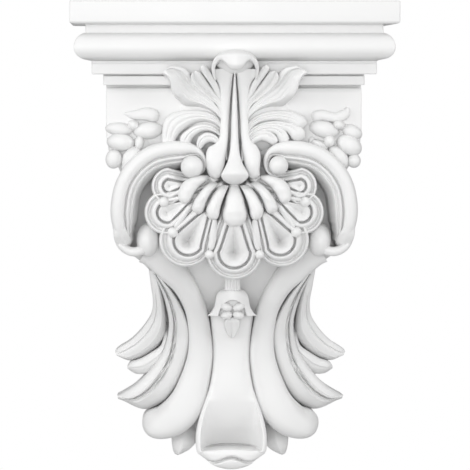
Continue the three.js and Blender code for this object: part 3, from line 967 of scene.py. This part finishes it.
@dataclass
class ShellFan(Casting):
    """Fluted shell: seven convex flutes over a frill of rimmed lobes, with darts and beads between.

    Rows of the lobes are x, z, radius, turn, lean and dish; of the rims distance in from the edge and fall.
    """

    name: str = "shell"
    hinge: float = 50.0
    crown: float = 143.0
    curve: float = 0.0052
    flatter_across: float = 0.55
    back: float = 86.0
    lobes: Knots = (
        (0, -11.3, 18.9, 0, 0, 14), (32.4, -3.6, 18, 32, 1.8, 14), (45.3, 15.1, 14.9, 62, 0.8, 5),
        (42.8, 32.7, 12.7, 82, 0, 3.5),
    )
    root_share: float = 2.6
    root_pinch: float = 0.62
    root_drop: float = 9.0
    flute_reach: tuple[float, float] = (35.0, 42.5)
    rims: Knots = (
        (0, 9), (0.28, 4.2), (0.8, 1.6), (1.5, 0.9), (2.1, 1.6), (2.8, 4.2), (3.5, 5.0), (4.2, 3.6),
        (4.8, 1.0), (5.6, 0.1), (6.8, 0.1), (7.4, 1.8), (7.8, 5.6), (8.2, 6.8), (8.6, 4.6),
        (9.0, 1.8), (9.6, 0.8), (10.8, 1.4),
    )
    dish_shift: float = -0.5
    flutes: Sequence[tuple[Knots, Knots]] = (
        (
            ((-3.1, 32.6), (-4.5, 28.6), (-5.8, 24.6), (-6.8, 20), (-7.8, 16), (-8.1, 12.6), (-7.1, 9.3),
             (-4.5, 6.3), (-0.4, 5.3)),
            ((3.1, 32.6), (4.5, 28.6), (5.8, 24.6), (6.8, 20), (7.8, 16), (8.1, 12.6), (7.1, 9.3), (4.5, 6.3),
             (0.4, 5.3)),
        ),
        (
            ((3.5, 32.9), (5.1, 29.9), (7.1, 25.3), (8.8, 20.6), (9.8, 16.6), (10.4, 13), (11.8, 10.6),
             (14.2, 9.8)),
            ((9.1, 33.6), (12.4, 29.9), (15.1, 25.9), (17.4, 21.3), (19.1, 17.3), (18.8, 14), (17.1, 11),
             (14.4, 9.8)),
        ),
        (
            ((10.4, 34.6), (12.4, 32.3), (14.2, 30.2), (15.8, 27.9), (17.3, 25.4), (18.9, 21.7), (20.1, 18),
             (21.7, 14.9), (24.2, 13.8)),
            ((15.1, 35.9), (17.8, 33.9), (21.7, 30.3), (24.7, 26.6), (27.1, 22.6), (28.4, 19.3), (28.7, 17.6),
             (27.1, 15.3), (24.4, 13.9)),
        ),
        (
            ((17.1, 37.6), (19.4, 36), (21.9, 33.9), (24.4, 31.6), (26.1, 29.2), (27.6, 26.6), (28.9, 24),
             (30.4, 22), (32, 20.9)),
            ((17.8, 39.9), (23.1, 39.6), (29.7, 37.9), (33.7, 35.6), (36.4, 31.9), (37.7, 27.3), (37.4, 23.9),
             (35, 21.3), (32.4, 20.9)),
        ),
    )

    def depth(self, x: Array, z: Array) -> Array:
        """The shell's dome: it falls back with the square of the height from its hinge, and less across."""
        return self.crown - self.curve * (self.flatter_across * x**2 + (z - 30) ** 2)

    def flute(self, order: int) -> Relief:
        """One convex flute between its two outlines, rising from the hinge and rounding down at its end."""
        first, second = self.flutes[order]
        middle = (np.asarray(first) + np.asarray(second)) / 2
        lift = np.interp(
            np.linspace(0, 1, len(middle)), [0, 0.12, 0.25, 0.5, 0.75, 0.9, 1], [-8, -1, 3.6, 6.6, 6.4, 4, 0]
        )
        crown = self.depth(middle[:, 0], middle[:, 1]) + lift
        return Blade(first, second, crown.tolist(), section=pillow(7.5, 2.1), back=100, full_width=9,
                     steps=60, across=29).build()

    def lobe(self, order: int) -> Relief:
        """An egg-shaped dish: outlines inset by the rims' distances from the edge, and then to the centre.

        The half towards the hinge is drawn out and pinched to a root, like a drop.
        """
        x, z, radius, turn, lean, dish = self.lobes[order]
        c, s = math.cos(math.radians(turn)), math.sin(math.radians(turn))
        inset, fall = spline(self.rims, 76).T
        rest = np.linspace(0, 1, 20)[1:]
        inset = np.concatenate([inset, inset[-1] + (radius - inset[-1]) * rest])
        fall = np.concatenate([fall, fall[-1] + (dish - fall[-1]) * rest**1.6])
        share = np.clip(1 - inset / radius, 0.004, 1)[:, None]
        angle = np.linspace(0, 2 * math.pi, 88, endpoint=False)[None, :]
        root = np.clip(np.cos(angle), 0, 1)
        long = np.where(root > 0, radius * self.root_share, radius)
        across = radius * share * np.sin(angle) * (1 - self.root_pinch * root**0.7)
        along = long * share * np.cos(angle) + self.dish_shift * (1 - share)
        px, pz = x + across * c - along * s, z + across * s + along * c
        px = px - lean * smooth_step(0, 8.2, inset)[:, None]
        hidden = 1 - smooth_step(*self.flute_reach, np.hypot(px, pz - self.hinge))
        surface = self.depth(px, pz) - fall[:, None] - self.root_drop * hidden
        rings = np.stack([px, pz, surface], axis=-1)
        base = rings[:1].copy()
        base[..., 2] = self.back
        return skin(np.concatenate([base, rings]))

    def darts(self) -> list[Relief]:
        """Slim darts in the valleys between the lobes, each ending in a bead."""
        paths = [
            [(13.2, 10.5, 1.8), (14.2, 1.5, 2.5), (15.2, -6, 2.4), (15.9, -10.2, 1.4)],
            [(29.6, 19.5, 1.5), (33, 14.5, 1.9), (37, 9, 1.9), (40, 5, 1.3)],
        ]
        made = []
        for path in paths:
            stations = [(x, z, float(self.depth(x, z)) + 0.6, half) for x, z, half in path]
            made.append(Member(stations, section=pillow(2.6), back=110, rounding=(0.8, 0.9), drop=2, steps=26,
                               across=15).build())
        for x, z, radius in ((16.8, -13, 3.1), (41.2, 1.8, 3.6), (47, 22, 3.5)):
            made.append(Ball((x, z, float(self.depth(x, z)) - 0.6), (radius, radius, 4.6), 0, 14, 22).build())
        return made

    def carve(self) -> None:
        """Adds a body under the shell, the lobes, darts and flutes."""
        self.add(Ball((0, 26, 100), (40, 30, 18), 0, 24, 40).build())
        self.add(self.lobe(0), self.flute(0))
        for order in (1, 2, 3):
            self.add_both(self.lobe(order))
            self.add_both(self.flute(order))
        for relief in self.darts():
            self.add_both(relief)


@dataclass
class AcanthusLeaf(Casting):
    """The leaf over the shell: upper lobes, arching fingers, a spear-shaped rib and a curled tip."""

    name: str = "leaf"
    lean: float = 0.17
    tip_lean: float = 0.35
    base_depth: float = 125.0

    def lift(self, z: float) -> float:
        """Depth of the leaf's ground: it leans out towards its tip."""
        return self.base_depth + self.lean * max(0.0, z - 60) + self.tip_lean * max(0.0, z - 92)

    def raised(self, rows: Knots) -> list[tuple[float, float, float, float]]:
        """Turns rows of x, z, lift and half width into stations on the leaning leaf."""
        return [(x, z, self.lift(z) + up, half) for x, z, up, half in rows]

    def finger(self, rows: Knots, grooves: Sequence[float], crown: float = 4.2) -> Relief:
        """A finger with parallel grooves along it that run out before its round end."""
        return Member(self.raised(rows), section=self.grooved(grooves, crown, 0.8), back=100,
                      rounding=(0, 0.9), drop=crown + 1, steps=60, across=31).build()

    def upper_lobes(self) -> list[Relief]:
        """The lobes that fan upwards over the cornice, from the outer one in."""

        def scooped(u: Array, t: Array) -> Array:
            grown = smooth_step(0.3, 0.72, t) * (1 - smooth_step(0.9, 0.98, t))
            hollow = 3.6 * smooth_step(-0.85, 0.3, u) * (1 - smooth_step(0.4, 0.62, u)) * grown
            under = 8.0 * np.clip((-u - 0.45) / 0.55, 0, 1) ** 1.2 * (1 - smooth_step(0.45, 0.62, t))
            ribs = notch(u, -0.3, 0.09, 0.6) + notch(u, 0.1, 0.09, 0.6) + notch(u, 0.48, 0.08, 0.5)
            edge = rounded_edge(u, 3.4, 7)
            return edge + hollow + under + ribs * smooth_step(0.15, 0.5, t) * (1 - smooth_step(0.8, 0.9, t))

        def channel(u: Array, t: Array) -> Array:
            scoop = notch(u, 0.2, 0.36, 2.8) * smooth_step(0.35, 0.65, t)
            return rounded_edge(u, 3.2, 4) + scoop

        outer = Blade(
            first=[(5.6, 56), (6.4, 66), (8.6, 75), (14.2, 81.4), (23.2, 85.2), (32.5, 86.4), (37.2, 90.3),
                   (39.8, 93), (41.8, 96.4), (42.7, 100.3), (44.7, 104.8), (47.9, 107.4)],
            second=[(4.6, 58), (5, 68), (6.4, 78), (10.6, 85), (17.3, 92.3), (23.2, 98.9), (27.6, 103.6),
                    (29.3, 106.6), (30.9, 109), (34.6, 111.2), (41.4, 112), (47.3, 108.6)],
            crown=[132.4, 132.2, 132.4, 133, 134, 135.6, 138, 140.2, 142.4, 144.4, 145.8, 144],
            section=scooped, back=104, full_width=6, steps=90, across=45,
        )
        middle = Member(
            self.raised([(5.6, 66, 6.4, 0.7), (6.6, 77, 5, 1.3), (9.8, 87.4, 4.4, 2.2), (15.3, 93, 4.4, 3.2),
                         (20.8, 98.6, 4.8, 4.2), (24.8, 104, 5.2, 4.2), (26.8, 108.6, 5, 2.7)]),
            section=channel, back=104, rounding=(0, 0.8), drop=3, steps=56, across=27,
        )
        inner = Member(
            self.raised([(5.2, 72, 5.4, 0.7), (6, 82, 4.6, 1.1), (8.6, 90.4, 4.4, 1.5), (11, 95, 4.6, 1.9),
                         (13.2, 99.4, 4.8, 2.2), (15.6, 103.2, 5.2, 2.3), (18, 106.6, 5.6, 2.4),
                         (20.6, 110.4, 5.6, 2.2), (22, 112.2, 5, 1.4)]),
            section=pillow(3.2, 2.2), back=104, rounding=(0, 0.9), drop=3, steps=60,
        )
        return [part.build() for part in (outer, middle, inner)]

    @staticmethod
    def grooved(centres: Sequence[float], crown: float, inner: float) -> Section:
        """Rounded section with parallel grooves; its second edge falls further by the inner fall."""

        def fall(u: Array, t: Array) -> Array:
            cut = sum(notch(u, centre, 0.12, 0.8) for centre in centres)
            faded = smooth_step(0.12, 0.35, t) * (1 - smooth_step(0.8, 0.96, t))
            return pillow(crown, 2.6)(u, t) + inner * np.clip(u, 0, 1) ** 3 + cut * faded

        return fall

    def left_fingers(self) -> list[Relief]:
        """Fingers of the left half; the two outer ones run under the scroll side by side."""
        outer = Blade(
            first=[(5.6, 50), (6.4, 60), (7.6, 71), (11.5, 78.8), (17.9, 82.4), (26.6, 83.6), (36.5, 82.9),
                   (43.2, 80.3), (47.2, 75.5), (48.2, 69), (48.3, 63), (47.8, 58)],
            second=[(4.6, 50), (5, 58), (6.4, 65.4), (9.6, 70.8), (13.9, 74.1), (19.9, 75.5), (25.9, 74.7),
                    (31.2, 72), (35.2, 69), (37.8, 65.7), (39.2, 62), (39.6, 57)],
            crown=[132.6, 132.4, 132.4, 132.4, 132.8, 133, 133.2, 133.4, 133.4, 133, 132, 131],
            section=self.grooved((-0.36, 0.22), 4.2, 2.5), back=100, full_width=5, steps=80, across=37,
        )
        middle = Blade(
            first=[(5.4, 50), (6, 58), (8.4, 66.6), (13.3, 71.8), (19.9, 74), (26.6, 73), (32, 69.8),
                   (35.4, 66.6), (36.7, 62.5), (36.8, 57)],
            second=[(4.6, 50), (5.2, 56), (7.6, 62.6), (12, 67.2), (17.3, 69.2), (21.9, 68.7), (25.9, 66.4),
                    (28.2, 63.2), (29, 59.8), (29, 56)],
            crown=[132.8, 132.8, 133.2, 133.8, 134.4, 134.8, 134.8, 134.2, 133, 132],
            section=self.grooved((-0.1,), 4.0, 1.5), back=100, full_width=4, steps=70, across=31,
        )
        inner = Blade(
            first=[(5.4, 50), (6.4, 57), (9.3, 63.4), (13.3, 67), (17.9, 68.3), (21.2, 67.4), (23.9, 65.2),
                   (25.2, 62), (25.2, 59.2), (24, 57.3)],
            second=[(4.8, 49), (6, 54), (8.6, 57.6), (12.2, 60.5), (15.4, 61.9), (17.8, 61.5), (19.9, 60.2),
                    (21.2, 58.6), (22.2, 57.5), (23.6, 57)],
            crown=[133, 133.4, 134.6, 136, 137.2, 137.6, 137.4, 136.4, 135, 133],
            section=self.grooved((-0.2,), 4.2, 0.8), back=100, full_width=5, steps=64, across=29,
        )
        return [outer.build(), middle.build(), inner.build()]

    def right_fingers(self) -> list[Relief]:
        """Fingers of the right half, each with a free round end."""
        return [
            self.finger([(5.2, 52, 7.4, 0.9), (5.8, 61, 7, 1.3), (8.4, 70, 5.6, 2), (13, 75.6, 4.6, 2.6),
                         (18, 78.3, 4.2, 3), (26.6, 79.8, 4.2, 3.4), (36.5, 79, 4.6, 4),
                         (43.2, 75.8, 5.2, 4.6), (46, 71.4, 5, 4.1)], (-0.3, 0.25)),
            self.finger([(5, 51, 7.6, 0.8), (5.8, 59, 7.4, 1.2), (9.8, 67.4, 5.8, 1.8),
                         (17.5, 72.6, 4.4, 2.1),
                         (26.6, 74, 4.4, 2.5), (35, 72.4, 4.8, 3.4), (41.6, 68.6, 5.6, 5),
                         (43.6, 62.8, 5.2, 5.3)],
                        (-0.2,)),
            self.finger([(5, 50, 7.8, 0.8), (6, 58, 7.6, 1.2), (10, 65.2, 6.4, 1.8), (15, 69, 5.4, 2),
                         (22, 71, 5.2, 2.4), (29, 69.6, 5.6, 3.2), (32.4, 65.6, 6, 3.9),
                         (32.6, 60.6, 5.4, 3.9)],
                        (-0.1,), 4),
            self.finger([(5.2, 49, 8, 1), (6.8, 56, 8, 1.6), (10.6, 62, 7.8, 2.4), (16.5, 65.8, 8, 3.2),
                         (21.5, 66, 8, 3.7), (25.4, 63.6, 7.8, 3.5), (27, 60, 6.6, 2.6)], (-0.3,), 4),
        ]

    def stalk(self) -> list[Relief]:
        """Two smooth strips that end in bulbs, with the spear-shaped rib in the groove between them."""

        def rolled(u: Array, t: Array) -> Array:
            return pillow(2.6 + 3.6 * (1 - smooth_step(0.22, 0.4, t)), 2.3)(u, t)

        made = []
        for side, bulge in ((Side.LEFT, 19.1), (Side.RIGHT, 17.3)):
            strip = Blade(
                first=[(13.8, 37.4), (16.8, 39.4), (bulge - 0.5, 43.6), (bulge, 49.5), (bulge - 0.3, 55),
                       (bulge - 2, 58.6), (14, 60.2), (11.4, 62.4), (9.9, 66), (9.6, 70), (9.2, 78),
                       (9.2, 90), (9.8, 96.3), (10.6, 99.6), (12.2, 102.9), (14.6, 106.2), (15, 110)],
                second=[(11.6, 37.4), (9.4, 39), (7.6, 43), (6.6, 47), (6, 51.5), (5.4, 55), (5, 58.5),
                        (4.6, 62.4), (4.2, 66), (4, 70), (3.6, 78), (2.8, 90), (2.3, 96.3), (1.9, 99.6),
                        (1.6, 102.9), (1.2, 106.2), (0.8, 110)],
                crown=[135.5, 138, 140.2, 140.8, 139.8, 138.6, 137.6, 136.8, 136.2, 135.8, 135.2, 136,
                       137.6, 138.6, 140, 141.6, 143.6],
                section=rolled, back=100, full_width=5, steps=80, across=33,
            )
            made.append(strip.build().mirrored(side))
        rib = Member(
            [(0, 111, 145, 0.25), (0, 104, 142, 0.7), (0, 97, 139.6, 1.2), (0, 88, 138, 1.7),
             (0, 76, 137.4, 2.2), (0, 64, 138.2, 2.6), (0, 56, 140.4, 3.2), (0, 50, 143, 4.4),
             (0, 45.6, 146.4, 6.2), (0, 42, 148, 8.2), (0, 38.6, 148, 9.6), (0, 35.6, 147, 9.4),
             (0, 33.4, 145.6, 8.6)],
            section=pillow(4.6, 2.4), back=100, rounding=(0, 0.9), drop=12, steps=70, across=29,
        )
        web = Member([(0, 36, 122, 3), (0, 60, 122, 6), (0, 90, 124, 7), (0, 108, 128, 9)],
                     section=pillow(2), back=100, rounding=(0, 0))
        return [*made, rib.build(), web.build()]

    def hood(self) -> list[Relief]:
        """The leaf's tip, curled forward: a band between an arched outline and a waved lower edge."""
        outer = [(-13.6, 103), (-15.1, 107.5), (-15.5, 112), (-14.2, 115.6), (-11.9, 118.4), (-8.6, 120.6),
                 (-4.6, 121.8), (0, 122.2), (4.6, 121.8), (8.6, 120.6), (11.9, 118.4), (14.3, 115.6),
                 (15.7, 112), (15.7, 107.5), (14.4, 103)]
        inner = [(-12.6, 102.6), (-13.2, 107.2), (-13, 111), (-11.4, 114), (-9.2, 115.2), (-6.6, 113),
                 (-4, 110.4), (0, 109.2), (4, 110.2), (6.6, 112.8), (9, 115), (11.4, 114), (13.4, 111),
                 (13.9, 107.2), (13.2, 102.6)]
        rise = [143, 147, 150.5, 152.8, 154.6, 156.2, 157.2]
        crown = [*rise, 157.8, *rise[::-1]]

        def rolled(u: Array, t: Array) -> Array:
            edge = 5.5 * np.clip((-u - 0.3) / 0.7, 0, 1) ** 2 + 2.2 * np.clip((u - 0.55) / 0.45, 0, 1) ** 2
            return edge + notch(u, -0.78, 0.06, 0.6)

        band = Blade(outer, inner, crown, section=rolled, back=132, full_width=7, steps=110, across=35)
        nape = Ball((0, 114.5, 139), (12.8, 7.6, 9), 0, 20, 36)
        return [band.build(), nape.build()]

    def carve(self) -> None:
        """Adds both halves of the leaf, its stalk and its curled tip."""
        for relief in self.upper_lobes():
            self.add_both(relief)
        self.add(*(relief.mirrored(Side.LEFT) for relief in self.left_fingers()))
        self.add(*self.right_fingers())
        self.add(*self.stalk(), *self.hood())
        self.add_both(Ball((16, 78, 116), (24, 22, 12), 40, 16, 30).build())


@dataclass
class Flowers(Casting):
    """The open flower on each corner of the block: petals, balls and long leaves.

    Rows of left and right are x, z, half sizes across, up and out, and turn.
    """

    name: str = "flowers"
    depth: float = 121.0
    fullness: float = 0.7
    left: Knots = (
        (57.4, 70.2, 10.2, 5.9, 8.6, -6), (75.9, 62.4, 9.6, 6.0, 8.6, 4), (76.9, 71.2, 9.6, 4.4, 6.4, 4),
        (80.6, 51.2, 5.6, 6.6, 6.6, 8), (67.4, 73.6, 4.2, 3.6, 8.2, 30), (63.6, 61.9, 3.2, 4.9, 8.2, 8),
    )
    right: Knots = (
        (60.4, 71, 10.4, 5.8, 8.6, -12), (70.4, 73.8, 4.2, 3.4, 9, -10), (63.9, 62.9, 4, 4.4, 8.6, 0),
        (79.2, 69.4, 7.4, 4.6, 6.6, -22), (77.4, 60.4, 9.2, 6.6, 8.6, -32), (70.3, 52.4, 5.6, 9.0, 7.8, 38),
        (80.6, 49.8, 4.6, 4.8, 6.6, 0), (57.4, 60.4, 6.4, 3.2, 5.6, -24),
    )
    left_leaves: Sequence[Knots] = (
        ((73.6, 81.6, 122.5, 0.8), (66.5, 80.6, 125, 3.2), (57.5, 81.2, 126, 4.4), (50.4, 78.2, 125.5, 4)),
        ((63.4, 58.6, 125, 2.8), (66.8, 55.2, 126.5, 4.6), (71, 50.4, 126, 4.6), (75.2, 43.4, 122.5, 0.8)),
    )
    right_leaves: Sequence[Knots] = (
        ((76.6, 85.6, 124, 1.4), (74.2, 81, 125.5, 3.4), (67.5, 78.8, 126, 3.2), (58.5, 80.4, 126, 3.6),
         (52, 78.2, 125, 3.6)),
        ((51.6, 66, 122.5, 1.6), (53.6, 61, 123.5, 3.4), (58.6, 57, 123.5, 3.4), (63, 53.4, 122, 2)),
    )

    def carve(self) -> None:
        """Adds the petals and leaves of both flowers on a backing inside the block."""
        for side, petals, leaves in (
            (Side.LEFT, self.left, self.left_leaves),
            (Side.RIGHT, self.right, self.right_leaves),
        ):
            for x, z, half_x, half_z, half_depth, turn in petals:
                ball = Ball((x, z, self.depth), (half_x, half_z, half_depth), turn, 24, 36, self.fullness)
                self.add(ball.build().mirrored(side))
            for stations in leaves:
                leaf = Member(
                    stations, section=pillow(3.2, 2.4), back=112, rounding=(0.6, 0.9), drop=3, steps=32
                )
                self.add(leaf.build().mirrored(side))
            self.add(Ball((66, 62, 112), (19, 20, 9.4), 0, 14, 28).build().mirrored(side))
        self.reliefs.sort(key=lambda relief: relief.points[:, 2].max())


# Studio


@dataclass(frozen=True)
class Softbox:
    """A square soft light: its way from the shell in degrees from straight ahead, and its power in watts."""

    name: str
    azimuth: float
    elevation: float
    power: float
    size: float = 0.9
    distance: float = 2.0


@dataclass(frozen=True)
class Studio:
    """Camera at the photograph's place, soft lights, a white surround and a pale floor."""

    eye: tuple[float, float, float] = (-0.08, -3.0, 0.11)
    target: tuple[float, float, float] = (0.0, -0.145, 0.0044)
    lens: float = 330.6
    floor_radius: float = 0.6
    floor_height: float = -0.40
    floor_shift: float = 0.1
    floor_sides: int = 96
    floor_paint: tuple[float, float, float, float] = (0.85, 0.85, 0.85, 1)
    glow: float = 0.245
    boxes: tuple[Softbox, ...] = (
        Softbox("front", -1, 4, 16.8),
        Softbox("near_left", -30, 8, 6),
        Softbox("left", -65, 5, 9),
        Softbox("left_high", -65, 35, 8.5),
        Softbox("right", 65, 5, 9),
        Softbox("right_high", 65, 35, 8),
        Softbox("top", -30, 65, 3),
    )

    def camera(self) -> None:
        """Places the camera far in front, a little to the left and above the middle."""
        data = bpy.data.cameras.new("camera")
        data.lens = self.lens
        data.clip_end = 50
        camera = bpy.data.objects.new("camera", data)
        camera.location = self.eye
        aim = Vector(self.target) - Vector(self.eye)
        camera.rotation_euler = aim.to_track_quat("-Z", "Y").to_euler()
        bpy.context.scene.collection.objects.link(camera)
        bpy.context.scene.camera = camera

    def softbox(self, box: Softbox) -> None:
        """Hangs a square area light round the shell, facing it."""
        azimuth, elevation = math.radians(box.azimuth), math.radians(box.elevation)
        way = Vector((
            math.sin(azimuth) * math.cos(elevation),
            -math.cos(azimuth) * math.cos(elevation),
            math.sin(elevation),
        ))
        data = bpy.data.lights.new(box.name, "AREA")
        data.shape = "SQUARE"
        data.size = box.size
        data.energy = box.power
        light = bpy.data.objects.new(box.name, data)
        light.location = Vector(self.target) + way * box.distance
        light.rotation_euler = (-way).to_track_quat("-Z", "Y").to_euler()
        bpy.context.scene.collection.objects.link(light)

    def surround(self) -> None:
        """A white background for the camera, dimmer for the light that it sheds."""
        world = bpy.data.worlds.new("surround")
        world.use_nodes = True
        tree = world.node_tree
        tree.nodes.clear()
        path = tree.nodes.new("ShaderNodeLightPath")
        seen = tree.nodes.new("ShaderNodeBackground")
        seen.inputs["Color"].default_value = (1, 1, 1, 1)
        shed = tree.nodes.new("ShaderNodeBackground")
        shed.inputs["Color"].default_value = (1, 1, 1, 1)
        shed.inputs["Strength"].default_value = self.glow
        mix = tree.nodes.new("ShaderNodeMixShader")
        output = tree.nodes.new("ShaderNodeOutputWorld")
        tree.links.new(path.outputs["Is Camera Ray"], mix.inputs[0])
        tree.links.new(shed.outputs[0], mix.inputs[1])
        tree.links.new(seen.outputs[0], mix.inputs[2])
        tree.links.new(mix.outputs[0], output.inputs["Surface"])
        bpy.context.scene.world = world

    def floor(self) -> None:
        """A pale round floor under the corbel."""
        angle = np.linspace(0, 2 * math.pi, self.floor_sides, endpoint=False)
        rim = np.stack([
            self.floor_radius * np.cos(angle),
            self.floor_radius * np.sin(angle) - self.floor_shift,
            np.full(self.floor_sides, self.floor_height),
        ], axis=1)
        mesh = bpy.data.meshes.new("floor")
        mesh.from_pydata(rim.tolist(), [], [list(range(self.floor_sides))])
        tree = ShaderTree("floor_paint")
        paint = tree.node("ShaderNodeBsdfPrincipled", Base_Color=self.floor_paint, Roughness=0.8)
        output = tree.node("ShaderNodeOutputMaterial")
        tree.links.new(paint.outputs["BSDF"], output.inputs["Surface"])
        mesh.materials.append(tree.material)
        floor = bpy.data.objects.new("floor", mesh)
        bpy.context.scene.collection.objects.link(floor)

    def build(self) -> None:
        """Sets camera, lights, surround and floor."""
        self.camera()
        self.surround()
        for box in self.boxes:
            self.softbox(box)
        self.floor()
        view = bpy.context.scene.view_settings
        view.view_transform = "Standard"
        view.look = "None"


def main() -> None:
    """Builds the studio and every casting."""
    logging.basicConfig(level=logging.INFO, format="%(name)s %(message)s")
    Studio().build()
    primer = FactoryPrimer().build()
    for casting in (Cornice(), Console(), ScrollPair(), ShellFan(), AcanthusLeaf(), Flowers()):
        casting.build(primer)


if __name__ == "__main__":
    main()
